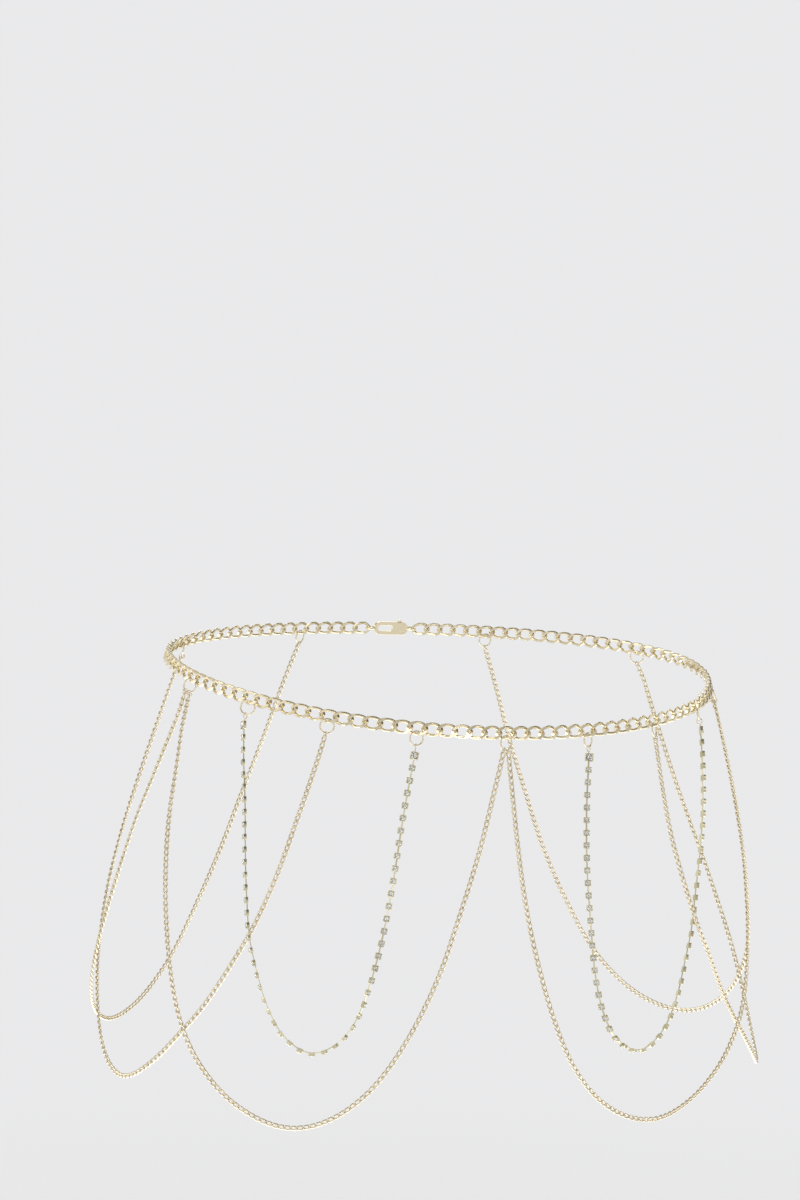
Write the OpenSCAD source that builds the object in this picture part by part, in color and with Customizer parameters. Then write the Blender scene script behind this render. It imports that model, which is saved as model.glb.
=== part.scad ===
/* [Belt chain] */
// width of the loop across the hips
belt_w = 280; // [240:1:330]
// from the widest line forward to the middle link
belt_front = 118; // [95:1:140]
// from the widest line back to the clasp
belt_back = 98; // [80:1:125]
// how far the loop tips down towards the front, degrees
belt_tilt = 11.5; // [0:0.5:20]
// extra rise of the loop over the two hips
side_lift = 4; // [0:0.5:10]
// links on each side of the middle one
half_links = 53; // [49:1:60]
// outer width of a link
link_w = 6.9; // [5.5:0.1:9]
// wire of a link
link_wire = 1.2; // [0.8:0.1:1.6]
// how far a link twists out of its own plane
link_twist = 1.1; // [0.9:0.05:1.4]
// thickness between the two cut faces of a link
link_cut = 2.6; // [2:0.1:4]
// play where two links meet
link_play = 0.3; // [0.2:0.05:0.5]

/* [Hip form] */
// growth of the half width from the belt down to the widest hip
hip_flare = 33; // [15:1:45]
// growth at the front
belly_flare = 3; // [0:1:15]
// growth at the back
seat_flare = 22; // [5:1:35]
// drop from the belt to the widest hip
hip_drop = 175; // [140:5:230]

/* [Jump rings] */
// outer diameter
ring_od = 7.6; // [6:0.1:9]
// wire
ring_wire = 0.9; // [0.6:0.1:1.2]
// turn of each ring from lying flat on the form, degrees
ring_turn = 25; // [15:1:40]

/* [Fine chain] */
// width of the strand
chain_w = 2.2; // [1.6:0.1:3]
// drop of the lowest strands below the belt
swag_drop = 195; // [150:5:230]
// outer diameter of the loop at a strand's end
loop_od = 2.9; // [2.5:0.1:3.5]
// wire of that loop
loop_wire = 0.6; // [0.4:0.05:0.8]

/* [Stone chain] */
// stones on each strand
stones = 55; // [30:1:60]
// side of a square cup
cup_w = 2.9; // [2:0.1:3.6]
// side of the cup at a strand's end
end_cup_w = 3.9; // [3:0.1:5]
// depth of a cup from its back to its rim
cup_h = 1.3; // [1.1:0.1:2]
// stone across its girdle
stone_d = 2.4; // [1.6:0.1:3]
// height of the stone's crown
crown_h = 0.55; // [0.3:0.05:0.8]
// height of a prong above the rim
prong_h = 0.35; // [0.2:0.05:0.6]

/* [Clasp] */
// gap in the belt that the clasp fills
clasp_span = 33; // [28:1:45]
// width of its body
clasp_w = 7; // [5:0.5:10]
// thickness of its body
clasp_t = 2.6; // [2:0.1:4]
// wire of its two eyes
eye_wire = 1.2; // [0.8:0.1:1.6]
// outer diameter of its two eyes
eye_od = 6; // [5:0.1:7]

/* [Hidden] */
gold = [0.84, 0.72, 0.48];
pale_gold = [0.90, 0.82, 0.62];
clear = 0.12;           // smallest gap left between two pieces

// belt links that carry a ring, counted from the front
ring_places = [0, 6, 12, 18, 24, 36, 48];

// Each row of a route: belt link, drop below the belt, stand off the form,
// and on a stone chain the turn of its cups from the form's face to the outer side of the bend, degrees.
front_left_route = [
    [-23.8, 10.3, -0.5], [-23.6, 20, 0.3], [-22.9, 42, 0], [-22.3, 66, 0], [-21.4, 92, 0],
    [-20.4, 117, 0.2], [-19.2, 142, 1.3], [-18.3, 158, 1.4], [-17, 173, 1.1], [-14.9, 187, 0.2],
    [-12, 194, 0], [-9.4, 188, 0], [-7, 171, 0], [-5.1, 146, 0], [-3.6, 117, 0],
    [-2.5, 86, 0], [-1.5, 56, 0], [-0.8, 31, 0], [-0.2, 10.3, 0.5]
];
front_right_route = [
    [0.2, 10.3, -0.5], [0.4, 24, 0], [0.8, 50, 0], [1.3, 78, 0], [2, 105, 0],
    [3.1, 136, 0], [4.6, 163, 0], [6.8, 182, 0], [9.8, 191, 0], [12.8, 186, 0.2],
    [15.4, 174, 1.1], [17, 163, 1.4], [18.3, 151, 1.4], [19.9, 128, 0.6], [21.2, 103, 0],
    [22.4, 78, 0], [23.2, 52, 0], [23.7, 28, 0.2], [23.8, 10.3, 0.5]
];
hip_left_route = [
    [-12, 10.3, 0], [-12.3, 26, -0.2], [-12.8, 49, -0.4], [-13.5, 77, -0.8], [-14.3, 99, -1],
    [-14.9, 111, -1], [-16.1, 131, -0.7], [-17.3, 147, -1.1], [-18.8, 162, -1.1], [-20.6, 178, -0.6],
    [-23, 192, 0], [-25, 194, 0], [-27.2, 186, -0.6], [-29, 170, -1.1], [-30.6, 149, -1.1],
    [-32, 128, -0.6], [-33.4, 101, 0], [-34.5, 74, 0], [-35.3, 45, 0], [-36, 10.3, 0]
];
hip_right_route = [
    [12, 10.3, 0], [12, 30, 0], [12.2, 57, 0.4], [12.8, 83, 1.6], [13.4, 99, 2],
    [13.9, 109, 2], [14.8, 123, 1.4], [16, 138, -0.4], [17.3, 151, -1.1], [18.7, 163, -1.1],
    [20.8, 178, -0.6], [23.2, 191, 0], [25.2, 193, 0], [27.4, 185, -0.6], [29.1, 170, -1.1],
    [30.6, 149, -1.1], [32, 128, -0.6], [33.4, 101, 0], [34.5, 74, 0], [35.3, 45, 0], [36, 10.3, 0]
];
back_left_route = [
    [-24.2, 10.3, 0.5], [-24.6, 28, 0.2], [-25.3, 50, 0], [-26.2, 74, 0], [-27, 99, 0],
    [-27.9, 122, 0.4], [-28.9, 143, 1.3], [-30, 160, 1.4], [-31.6, 177, 1], [-33.8, 190, 0.2],
    [-36.2, 194, 0], [-38.8, 188, 0], [-41.2, 171, 0], [-43, 146, 0], [-44.5, 117, 0],
    [-45.6, 86, 0], [-46.6, 56, 0], [-47.3, 31, 0], [-48, 10.3, 0]
];
stone_left_route = [
    [-18, 13, 0, 35], [-17.3, 30, 0, 50], [-16.5, 48, 0.2, 50], [-15.6, 74, 1, 55], [-14.9, 95, 1.9, 55],
    [-14.5, 108, 1.9, 60], [-13.9, 122, 1.2, 65], [-13.1, 138, 0.2, 75], [-12, 151, 0, 90], [-10.5, 157, 0, 95],
    [-9.1, 152, 0, 90], [-8, 140, 0, 75], [-7.3, 121, 0, 50], [-6.8, 97, 0, 10], [-6.5, 70, 0, -15],
    [-6.3, 40, 0, -25], [-6, 13, 0, -10]
];
stone_right_route = [
    [6, 13, 0, 10], [5.6, 36, 0, 15], [5.4, 64, 0, 20], [5.5, 93, 0, 30], [5.7, 116, 0, 40],
    [6.2, 135, 0, 50], [7.1, 149, 0, 65], [8.7, 156, 0, 80], [10.4, 149, 0, 75], [11.6, 135, -0.3, 65],
    [12.6, 118, -0.9, 60], [13.5, 103, -1.2, 60], [14.2, 86, -0.9, 60], [15.1, 67, 0, 60], [16.2, 48, 0, 60],
    [17.2, 29, 0, 55], [18, 13, 0, 35]
];
route_low = 194;        // lowest drop in the tables, which swag_drop replaces
route_hang = 13;        // drops down to here keep their value

belt_mid = (belt_front - belt_back) / 2;
link_segments = 10;
wire_sides = 5;
chain_sides = 8;
chain_sections = 54;    // keeps the six strands inside the triangle limit
steps_a_span = 6;
small = 0.4;            // step for a slope on the form

function unit(v) = v / norm(v);
function square_to(v, axis) = v - (v * axis) * axis;
function turned(route) = [for (row = route) [-row[0], row[1], row[2]]];

// the form: a point on the loop at an angle, then on the hips under it
function loop_point(t) = [
    belt_w / 2 * sin(t),
    belt_mid - (cos(t) > 0 ? belt_front : belt_back) * cos(t)
];
function loop_height(t) =
    loop_point(t)[1] * tan(belt_tilt) + side_lift * pow(sin(t), 2);
function form_point(t, drop, off) = let (
    grow = sin(90 * drop / hip_drop),
    deep = cos(t) > 0 ? belt_front + belly_flare * grow : belt_back + seat_flare * grow
) [
    (belt_w / 2 + hip_flare * grow + off) * sin(t),
    belt_mid - (deep + off) * cos(t),
    loop_height(t) - drop
];

// length along the loop from its front, and the angle at that length
loop_step = 2;
half_angles = [for (t = [0 : loop_step : 180]) t];
half_sums = [
    for (k = 0, s = 0; k < len(half_angles);
        s = s + norm(form_point(half_angles[k] + loop_step, 0, 0) - form_point(half_angles[k], 0, 0)),
        k = k + 1)
    [s, half_angles[k]]
];
half_length = half_sums[len(half_sums) - 1][0];
pitch = (2 * half_length - clasp_span) / (2 * half_links);
function angle_at(place) = (place < 0 ? -1 : 1) * lookup(abs(place) * pitch, half_sums);
function place_point(p) = form_point(angle_at(p[0]), p[1], p[2]);
function moved(p, sideways, lower) = place_point([p[0] + sideways, p[1] + lower, p[2]]);
function along(p) = unit(moved(p, small, 0) - moved(p, -small, 0));
function down(p) = let (
    d = moved(p, 0, small) - moved(p, 0, -small),
    t = along(p)
) unit(square_to(d, t));
function out_of(p) = cross(along(p), -down(p));

module put(o, x, z) {
    y = cross(z, x);
    multmatrix([
        [x[0], y[0], z[0], o[0]],
        [x[1], y[1], z[1], o[1]],
        [x[2], y[2], z[2], o[2]],
        [0, 0, 0, 1]
    ]) children();
}

// curb links of the belt, all of a half in one polyhedron
link_len = pitch + link_play + 2 * link_wire;
link_a = (link_len - link_wire) / 2;
link_b = (link_w - link_wire) / 2;
function link_axis(u) = [link_a * cos(u), link_b * sin(u), -link_twist * sin(2 * u)];
function link_way(u) = unit([-link_a * sin(u), link_b * cos(u), -2 * link_twist * cos(2 * u)]);
function link_vertex(u, v) = let (
    way = link_way(u),
    flat_out = [cos(u), sin(u), 0],
    side = unit(square_to(flat_out, way)),
    p = link_axis(u) + link_wire / 2 * (cos(v) * side + sin(v) * cross(way, side))
) [p[0], p[1], max(-link_cut / 2, min(link_cut / 2, p[2]))];
link_mesh = [
    for (i = [0 : link_segments - 1], j = [0 : wire_sides - 1])
    link_vertex(360 * i / link_segments, 360 * (j + 0.5) / wire_sides)
];
function link_corner(i, j) = (i % link_segments) * wire_sides + j % wire_sides;
link_faces = [
    for (i = [0 : link_segments - 1], j = [0 : wire_sides - 1], half = [0, 1])
    half == 0 ? [link_corner(i, j), link_corner(i + 1, j), link_corner(i + 1, j + 1)]
        : [link_corner(i, j), link_corner(i + 1, j + 1), link_corner(i, j + 1)]
];
module belt_links(from, to) {
    count = len(link_mesh);
    points = [
        for (k = [from : to])
        let (p = [k, 0, 0], o = place_point(p), x = along(p), y = -down(p), z = cross(x, y))
        for (v = link_mesh) o + v[0] * x + v[1] * y + v[2] * z
    ];
    faces = [
        for (k = [0 : to - from], f = link_faces) [f[0] + k * count, f[1] + k * count, f[2] + k * count]
    ];
    polyhedron(points, faces, convexity = 10);
}
module belt_left() color(gold) belt_links(-half_links, -1);
module belt_right() color(gold) belt_links(0, half_links);

// jump rings hang in the lower wire of their link
ring_r = (ring_od - ring_wire) / 2;
ring_top = link_b * cos(180 / link_segments) - link_wire / 2 - ring_wire / 2 - 1.5 * clear;
ring_drop = ring_top + ring_r;
module ring(place) {
    p = [place, 0, 0];
    x = along(p);
    y = -down(p);
    z = cross(x, y);
    across = x * cos(ring_turn) - z * sin(ring_turn);
    face_out = x * sin(ring_turn) + z * cos(ring_turn);
    color(gold)
    put(place_point(p) - y * ring_drop, across, face_out)
    rotate_extrude($fn = 48) translate([ring_r, 0]) circle(d = ring_wire, $fn = 24);
}
module ring_front() ring(ring_places[0]);
module ring_left_1() ring(-ring_places[1]);
module ring_left_2() ring(-ring_places[2]);
module ring_left_3() ring(-ring_places[3]);
module ring_left_4() ring(-ring_places[4]);
module ring_left_5() ring(-ring_places[5]);
module ring_left_6() ring(-ring_places[6]);
module ring_right_1() ring(ring_places[1]);
module ring_right_2() ring(ring_places[2]);
module ring_right_3() ring(ring_places[3]);
module ring_right_4() ring(ring_places[4]);
module ring_right_5() ring(ring_places[5]);
module ring_right_6() ring(ring_places[6]);

// a route as a smooth curve over the form, measured by its own length
function low(d) = d <= route_hang ? d
    : route_hang + (d - route_hang) * (swag_drop - route_hang) / (route_low - route_hang);
function bend(p, q, r, s, u) =
    0.5 * (2 * q + (r - p) * u + (2 * p - 5 * q + 4 * r - s) * u * u + (3 * q - p - 3 * r + s) * u * u * u);
function row_at(route, x) = let (
    last = len(route) - 1,
    k = max(0, min(floor(x), last - 1)),
    row = bend(route[max(k - 1, 0)], route[k], route[k + 1], route[min(k + 2, last)], x - k)
) [row[0], low(row[1]), row[2], row[3]];
function route_sums(route) = let (
    n = (len(route) - 1) * steps_a_span,
    pts = [for (k = [0 : n]) place_point(row_at(route, k / steps_a_span))]
) [
    for (k = 0, s = 0; k <= n;
        s = s + (k < n ? norm(pts[k + 1] - pts[k]) : 0),
        k = k + 1)
    [s, k / steps_a_span]
];
function spaced(route, count) = let (
    sums = route_sums(route),
    whole = sums[len(sums) - 1][0]
) [for (k = [0 : count - 1]) row_at(route, lookup(whole * k / (count - 1), sums))];

// the two ends of a strand hang in their rings by a small round loop
loop_r = (loop_od - loop_wire) / 2;
function loop_up(side) = ring_wire / 2 + loop_wire / 2 + clear * (1 + 1.5 * abs(side));
function ring_low(place, side) = let (
    p = [place, 0, 0],
    x = along(p),
    y = -down(p),
    z = cross(x, y),
    across = x * cos(ring_turn) - z * sin(ring_turn)
) place_point(p) - y * ring_drop + side * across - y * sqrt(ring_r * ring_r - side * side);
module end_loop(place, side) {
    p = [place, 0, 0];
    y = -down(p);
    put(ring_low(place, side) + y * (loop_up(side) - loop_r), y, along(p))
    rotate_extrude($fn = 36) translate([loop_r, 0]) circle(d = loop_wire, $fn = 20);
}

module strand(route, from, from_side, to, to_side) {
    rows = spaced(route, chain_sections);
    pts = [for (row = rows) place_point(row)];
    last = chain_sections - 1;
    points = [
        for (k = [0 : last])
        let (
            way = unit(pts[min(k + 1, last)] - pts[max(k - 1, 0)]),
            side = unit(cross(way, out_of(rows[k]))),
            up = cross(side, way)
        )
        for (j = [0 : chain_sides - 1])
        let (v = 360 * (j + 0.5) / chain_sides)
        pts[k] + chain_w / 2 * (cos(v) * side + sin(v) * up)
    ];
    faces = concat(
        [[for (j = [0 : chain_sides - 1]) j]],
        [
            for (k = [0 : last - 1], j = [0 : chain_sides - 1], half = [0, 1])
            let (a = k * chain_sides, b = a + chain_sides, n = (j + 1) % chain_sides)
            half == 0 ? [a + j, b + j, b + n] : [a + j, b + n, a + n]
        ],
        [[for (j = [chain_sides - 1 : -1 : 0]) last * chain_sides + j]]
    );
    color(gold) {
        polyhedron(points, faces, convexity = 10);
        end_loop(from, from_side);
        end_loop(to, to_side);
    }
}
pair_side = 1.3;        // two strands share a ring this far from its middle
module front_swag_left() strand(front_left_route, -ring_places[4], pair_side, ring_places[0], -pair_side);
module front_swag_right() strand(front_right_route, ring_places[0], pair_side, ring_places[4], -pair_side);
module hip_swag_left() strand(hip_left_route, -ring_places[2], 0, -ring_places[5], 0);
module hip_swag_right() strand(hip_right_route, ring_places[2], 0, ring_places[5], 0);
module back_swag_left() strand(back_left_route, -ring_places[4], -pair_side, -ring_places[6], 0);
module back_swag_right() strand(turned(back_left_route), ring_places[4], pair_side, ring_places[6], 0);

// stone chain: each cup carries a bar whose peg sits in the next cup's socket
stone_count = round(stones);
cup_back = cup_h / 2;
bar_w = 0.45;
bar_t = 0.4;
peg_d = 0.95;
slot_w = bar_w + 3 * clear;
socket_d = peg_d + 4 * clear;
peg_up = 0.2;           // the bar's back face above the cup's back face
socket_h = peg_up + bar_t + 2.4 * clear;
prong_w = 0.5;
table_d = 0.6 * stone_d;
crown_reach = 1.2 * stone_d;
module crown_prism() {
    rotate([90, 0, 0])
    linear_extrude(height = crown_reach, center = true)
    polygon([[-stone_d / 2, 0], [stone_d / 2, 0], [table_d / 2, crown_h], [-table_d / 2, crown_h]]);
}
module crown() {
    intersection() {
        crown_prism();
        rotate([0, 0, 45]) crown_prism();
        rotate([0, 0, 90]) crown_prism();
        rotate([0, 0, 135]) crown_prism();
    }
}
module cup(side) {
    corner = side / 2 - prong_w;
    translate([-side / 2, -side / 2, -cup_back]) cube([side, side, cup_h]);
    for (x = [-side / 2, corner], y = [-side / 2, corner])
        translate([x, y, 0]) cube([prong_w, prong_w, cup_back + prong_h]);
    translate([0, 0, cup_back - clear / 2]) crown();
}
module socket(angle, side) {
    translate([0, 0, -cup_h]) cylinder(h = cup_h - cup_back + socket_h, d = socket_d, $fn = 24);
    rotate([0, 0, angle])
    translate([0, -slot_w / 2, -cup_h]) cube([side, slot_w, cup_h - cup_back + socket_h]);
}
module bar(reach, side) {
    translate([0, 0, peg_up - cup_back]) {
        translate([side / 2 - prong_w, -bar_w / 2, 0]) cube([reach - side / 2 + prong_w, bar_w, bar_t]);
        translate([reach, 0, 0]) cylinder(h = bar_t, d = peg_d, $fn = 24);
    }
}
function angle_in(v, x, y) = atan2(v * y, v * x);
function cup_face(row, way) = let (
    out = out_of(row),
    outer = unit(cross(way, out))
) cos(row[3]) * out + sin(row[3]) * outer;
module stone_strand(route, from, to) {
    rows = spaced(route, stone_count);
    pts = [for (row = rows) place_point(row)];
    last = stone_count - 1;
    ways = [for (k = [0 : last]) unit(pts[min(k + 1, last)] - pts[max(k - 1, 0)])];
    outs = [for (k = [0 : last]) unit(square_to(cup_face(rows[k], ways[k]), ways[k]))];
    color(pale_gold)
    for (k = [0 : last]) {
        side = k == 0 || k == last ? end_cup_w : cup_w;
        y = cross(outs[k], ways[k]);
        put(pts[k], ways[k], outs[k]) difference() {
            cup(side);
            if (k > 0) socket(angle_in(pts[k - 1] - pts[k], ways[k], y), side);
        }
        if (k < last) {
            next = pts[k + 1] - pts[k];
            put(pts[k], unit(next), unit(square_to(outs[k] + outs[k + 1], unit(next)))) bar(norm(next), side);
        }
        if (k == 0) cup_loop(from, pts[k], side);
        if (k == last) cup_loop(to, pts[k], side);
    }
}
module cup_loop(place, cup_point, side) {
    end_loop(place, 0);
    y = -down([place, 0, 0]);
    top = ring_low(place, 0) + y * (loop_up(0) - 2 * loop_r);
    way = unit(cup_point - top);
    z = unit(cross(way, along([place, 0, 0])));
    put(top, way, z) rotate([0, 90, 0])
        cylinder(h = norm(cup_point - top) - side / 2 + prong_w, d = loop_wire, $fn = 24);
}
module stone_swag_left() stone_strand(stone_left_route, -ring_places[3], -ring_places[1]);
module stone_swag_right() stone_strand(stone_right_route, ring_places[1], ring_places[3]);

// plain clasp at the back, an eye round each last link
eye_r = (eye_od - eye_wire) / 2;
eye_x = clasp_span / 2 - link_a + link_wire / 2 + 2 * clear + eye_wire / 2 - eye_r;
back_place = [half_length / pitch, 0, 0];
body_len = 2 * (eye_x - eye_r) + eye_wire;
slot_len = 0.45 * body_len;
slot_wide = 0.45 * clasp_w;
slot_at = body_len / 6;
thumb_d = clasp_w / 3;
thumb_at = body_len / 4;
module stadium(long, wide) {
    square([long - wide, wide], center = true);
    for (s = [-1, 1]) translate([s * (long - wide) / 2, 0]) circle(d = wide, $fn = 36);
}
module clasp() {
    eye_point = form_point(180 - asin(2 * eye_x / belt_w), 0, 0);
    put([0, eye_point[1], eye_point[2]], [-1, 0, 0], cross([-1, 0, 0], -down(back_place)))
    color(gold) {
        difference() {
            linear_extrude(height = clasp_t, center = true) stadium(body_len, clasp_w);
            translate([slot_at, 0, 0])
            linear_extrude(height = 2 * clasp_t, center = true) stadium(slot_len, slot_wide);
        }
        translate([-thumb_at, clasp_w / 2, 0]) cylinder(h = clasp_t / 2, d = thumb_d, center = true, $fn = 24);
        for (s = [-1, 1])
            translate([s * eye_x, 0, 0]) rotate([90, 0, 0])
            rotate_extrude($fn = 48) translate([eye_r, 0]) circle(d = eye_wire, $fn = 24);
    }
}

belt_left();
belt_right();
clasp();
ring_front();
ring_left_1();
ring_left_2();
ring_left_3();
ring_left_4();
ring_left_5();
ring_left_6();
ring_right_1();
ring_right_2();
ring_right_3();
ring_right_4();
ring_right_5();
ring_right_6();
front_swag_left();
front_swag_right();
hip_swag_left();
hip_swag_right();
back_swag_left();
back_swag_right();
stone_swag_left();
stone_swag_right();
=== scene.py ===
import bpy
import bmesh
import math
import random
import numpy as np
from mathutils import Matrix, Vector


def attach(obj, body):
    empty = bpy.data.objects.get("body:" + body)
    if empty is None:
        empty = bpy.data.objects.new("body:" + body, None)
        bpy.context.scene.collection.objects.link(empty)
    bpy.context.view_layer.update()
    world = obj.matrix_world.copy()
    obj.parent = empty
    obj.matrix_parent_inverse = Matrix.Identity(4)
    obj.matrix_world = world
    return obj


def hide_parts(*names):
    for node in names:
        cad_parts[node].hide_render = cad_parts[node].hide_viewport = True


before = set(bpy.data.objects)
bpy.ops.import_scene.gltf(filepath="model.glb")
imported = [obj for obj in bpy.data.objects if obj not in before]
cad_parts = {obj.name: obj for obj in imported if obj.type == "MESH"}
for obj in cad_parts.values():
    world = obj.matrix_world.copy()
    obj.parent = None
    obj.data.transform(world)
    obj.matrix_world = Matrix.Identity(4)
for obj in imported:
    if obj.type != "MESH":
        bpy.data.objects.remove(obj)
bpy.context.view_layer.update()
mm = 0.001
mergeGap = 0.002        # in mm: points nearer than this become one
print("waist chain: packed model loaded,", len(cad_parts), "nodes")


# hand tools

def pick(*pieces):
    bpy.ops.object.select_all(action="DESELECT")
    for piece in pieces:
        piece.select_set(True)
    bpy.context.view_layer.objects.active = pieces[0]


def startEdit(piece):
    pick(piece)
    bpy.ops.object.mode_set(mode="EDIT")


def endEdit():
    bpy.ops.object.mode_set(mode="OBJECT")


def choose(piece, kind, wanted):
    # in edit mode: selects the vertices, edges or faces that pass the test, by place or normal
    bpy.ops.mesh.select_mode(type=kind)
    shape = bmesh.from_edit_mesh(piece.data)
    for part in (*shape.verts, *shape.edges, *shape.faces):
        part.select = False
    for part in {"VERT": shape.verts, "EDGE": shape.edges, "FACE": shape.faces}[kind]:
        if wanted(part):
            part.select_set(True)
    shape.select_flush_mode()
    bmesh.update_edit_mesh(piece.data)


def rise(edge):
    return abs(edge.verts[0].co.z - edge.verts[1].co.z)


def cleanUp(piece):
    startEdit(piece)
    bpy.ops.mesh.select_all(action="SELECT")
    bpy.ops.mesh.remove_doubles(threshold=mergeGap * mm)
    bpy.ops.mesh.normals_make_consistent(inside=False)
    endEdit()


def applyModifiers(piece):
    pick(piece)
    for modifier in list(piece.modifiers):
        bpy.ops.object.modifier_apply(modifier=modifier.name)


def fixPlace(piece):
    pick(piece)
    bpy.ops.object.transform_apply(location=True, rotation=True, scale=True)


def joinAs(name, pieces):
    pick(*pieces)
    if len(pieces) > 1:
        bpy.ops.object.join()
    piece = bpy.context.object
    piece.name = name
    piece.data.name = name
    return piece


def strung(name, model, places, seed):
    # one copy of the model at each place, each with a tint of its own, joined to one mesh
    dice = random.Random(seed)
    copies = []
    for place in places:
        copy = model.copy()
        copy.data = model.data.copy()
        copy.data.transform(place)
        tint = copy.data.attributes.new("linkTint", "FLOAT", "POINT")
        tint.data.foreach_set("value", [dice.random()] * len(copy.data.vertices))
        bpy.context.collection.objects.link(copy)
        copies.append(copy)
    return joinAs(name, copies)


def tidyAway(*models):
    for model in models:
        bpy.data.objects.remove(model)


# the surface that the chain lies on, in millimetres and degrees, as in the part's source

form = {
    "beltWidth": 280, "beltFront": 118, "beltBack": 98, "beltTilt": 11.5, "sideLift": 4,
    "hipFlare": 33, "bellyFlare": 3, "seatFlare": 22, "hipDrop": 175, "angleStep": 2,
}
# wire and solidCorners are those of the solid link, which place the rings and the clasp.
# boldWire is the wire drawn here, which is bolder, as in the photograph.
# Flats are cut at flatTurn round a link, tipped by flatTilt and flatDepth deep; sway is in degrees.
belt = {
    "halfLinks": 53, "linkWidth": 6.9, "wire": 1.2, "solidCorners": 10, "boldWire": 1.5,
    "twist": 1.1, "cut": 2.6, "play": 0.3, "claspSpan": 33, "steps": 24, "sides": 8,
    "flatTurn": 50, "flatTilt": 0.75, "flatDepth": 0.3, "sway": 2.1, "swayBeats": (2.4, 0.7),
    "seeds": (11, 12),
}
ringPlaces = [0, 6, 12, 18, 24, 36, 48]     # belt links that carry a ring, counted from the front
beltMid = (form["beltFront"] - form["beltBack"]) / 2
slopeStep = 0.4         # how far to each side a slope is measured, in belt links or in mm


def sinOf(angle):
    return math.sin(math.radians(angle))


def cosOf(angle):
    return math.cos(math.radians(angle))


def formPoint(angle, drop, off):
    grow = sinOf(90 * drop / form["hipDrop"])
    front = cosOf(angle) > 0
    level = form["beltFront"] if front else form["beltBack"]
    deep = level + grow * (form["bellyFlare"] if front else form["seatFlare"])
    height = (beltMid - level * cosOf(angle)) * math.tan(math.radians(form["beltTilt"]))
    return Vector((
        (form["beltWidth"] / 2 + form["hipFlare"] * grow + off) * sinOf(angle),
        beltMid - (deep + off) * cosOf(angle),
        height + form["sideLift"] * sinOf(angle) ** 2 - drop,
    ))


halfAngles = list(range(0, 181, form["angleStep"]))
halfSums = [0]
for nearAngle, farAngle in zip(halfAngles, halfAngles[1:]):
    halfSums.append(halfSums[-1] + (formPoint(farAngle, 0, 0) - formPoint(nearAngle, 0, 0)).length)
pitch = (2 * halfSums[-1] - belt["claspSpan"]) / (2 * belt["halfLinks"])


def placePoint(link, drop, off):
    # a place is a belt link, counted from the front, a drop below the belt and a stand off the surface
    angle = float(np.interp(abs(link) * pitch, halfSums, halfAngles))
    return formPoint(math.copysign(angle, link), drop, off)


def alongAt(link, drop=0, off=0):
    ahead = placePoint(link + slopeStep, drop, off)
    return (ahead - placePoint(link - slopeStep, drop, off)).normalized()


def downAt(link, drop=0, off=0):
    along = alongAt(link, drop, off)
    fall = placePoint(link, drop + slopeStep, off) - placePoint(link, drop - slopeStep, off)
    return (fall - fall.dot(along) * along).normalized()


def outAt(link, drop=0, off=0):
    return alongAt(link, drop, off).cross(-downAt(link, drop, off))


def squareTo(vector, axis):
    return vector - vector.dot(axis) * axis


def placed(point, x, z):
    # the matrix that puts a model at a point in millimetres, its x and z axes turned to these
    turn = Matrix((x, z.cross(x), z)).transposed().to_4x4()
    turn.translation = point * mm
    return turn


# materials

class Wired:
    # wraps a socket, so that shader maths reads as plain arithmetic
    def __init__(self, socket):
        self.socket = socket

    def maths(self, operation, first, second):
        node = self.socket.id_data.nodes.new("ShaderNodeMath")
        node.operation = operation
        for put, value in zip(node.inputs, (first, second)):
            plug(put, value)
        return Wired(node.outputs[0])

    def atLeast(self, least):
        return self.maths("MAXIMUM", self, least)

    def __add__(self, other):
        return self.maths("ADD", self, other)

    def __radd__(self, other):
        return self.maths("ADD", other, self)

    def __sub__(self, other):
        return self.maths("SUBTRACT", self, other)

    def __rsub__(self, other):
        return self.maths("SUBTRACT", other, self)

    def __mul__(self, other):
        return self.maths("MULTIPLY", self, other)

    def __rmul__(self, other):
        return self.maths("MULTIPLY", other, self)


def plug(put, value):
    if isinstance(value, Wired):
        put.id_data.links.new(value.socket, put)
    elif put.type == "RGBA" and len(value) == 3:
        put.default_value = (*value, 1)
    else:
        put.default_value = value


class Finish:
    # builds the nodes of a material or of the world
    def __init__(self, owner):
        owner.use_nodes = True
        self.tree = owner.node_tree
        self.tree.nodes.clear()

    def node(self, kind, settings, values, output=0):
        made = self.tree.nodes.new("ShaderNode" + kind)
        for name, value in settings.items():
            if name == "stops":
                ramp = made.color_ramp
                ramp.elements[0].position = value[0][0]
                ramp.elements[-1].position = value[-1][0]
                for stop in value[1:-1]:
                    ramp.elements.new(stop[0])
                for element, stop in zip(ramp.elements, value):
                    element.color = (*stop[1], 1)
            else:
                setattr(made, name, value)
        for name, value in values.items():
            plug(made.inputs[name], value)
        return Wired(made.outputs[output]) if made.outputs else None

    def objectPlace(self):
        return self.node("TexCoord", {}, {}, "Object")

    def linkTint(self):     # from none to one, each copy's own
        return self.node("Attribute", {"attribute_name": "linkTint"}, {}, "Fac")

    def noise(self, place, scale, detail, roughness=0.5):
        values = {"Vector": place, "Scale": scale, "Detail": detail, "Roughness": roughness}
        return self.node("TexNoise", {}, values)

    def blend(self, factor, first, second, kind="MIX"):
        settings = {"data_type": "RGBA", "blend_type": kind}
        return self.node("Mix", settings, {0: factor, 6: first, 7: second}, 2)

    def ramp(self, factor, stops):
        greys = [(place, (grey, grey, grey)) for place, grey in stops]
        return self.node("ValToRGB", {"stops": greys}, {"Fac": factor})

    def bump(self, strength, depth, height):
        return self.node("Bump", {}, {"Strength": strength, "Distance": depth, "Height": height})

    def surface(self, shader):
        self.node("OutputMaterial", {}, {"Surface": shader})


def newMaterial(name):
    material = bpy.data.materials.new(name)
    return material, Finish(material)


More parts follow.
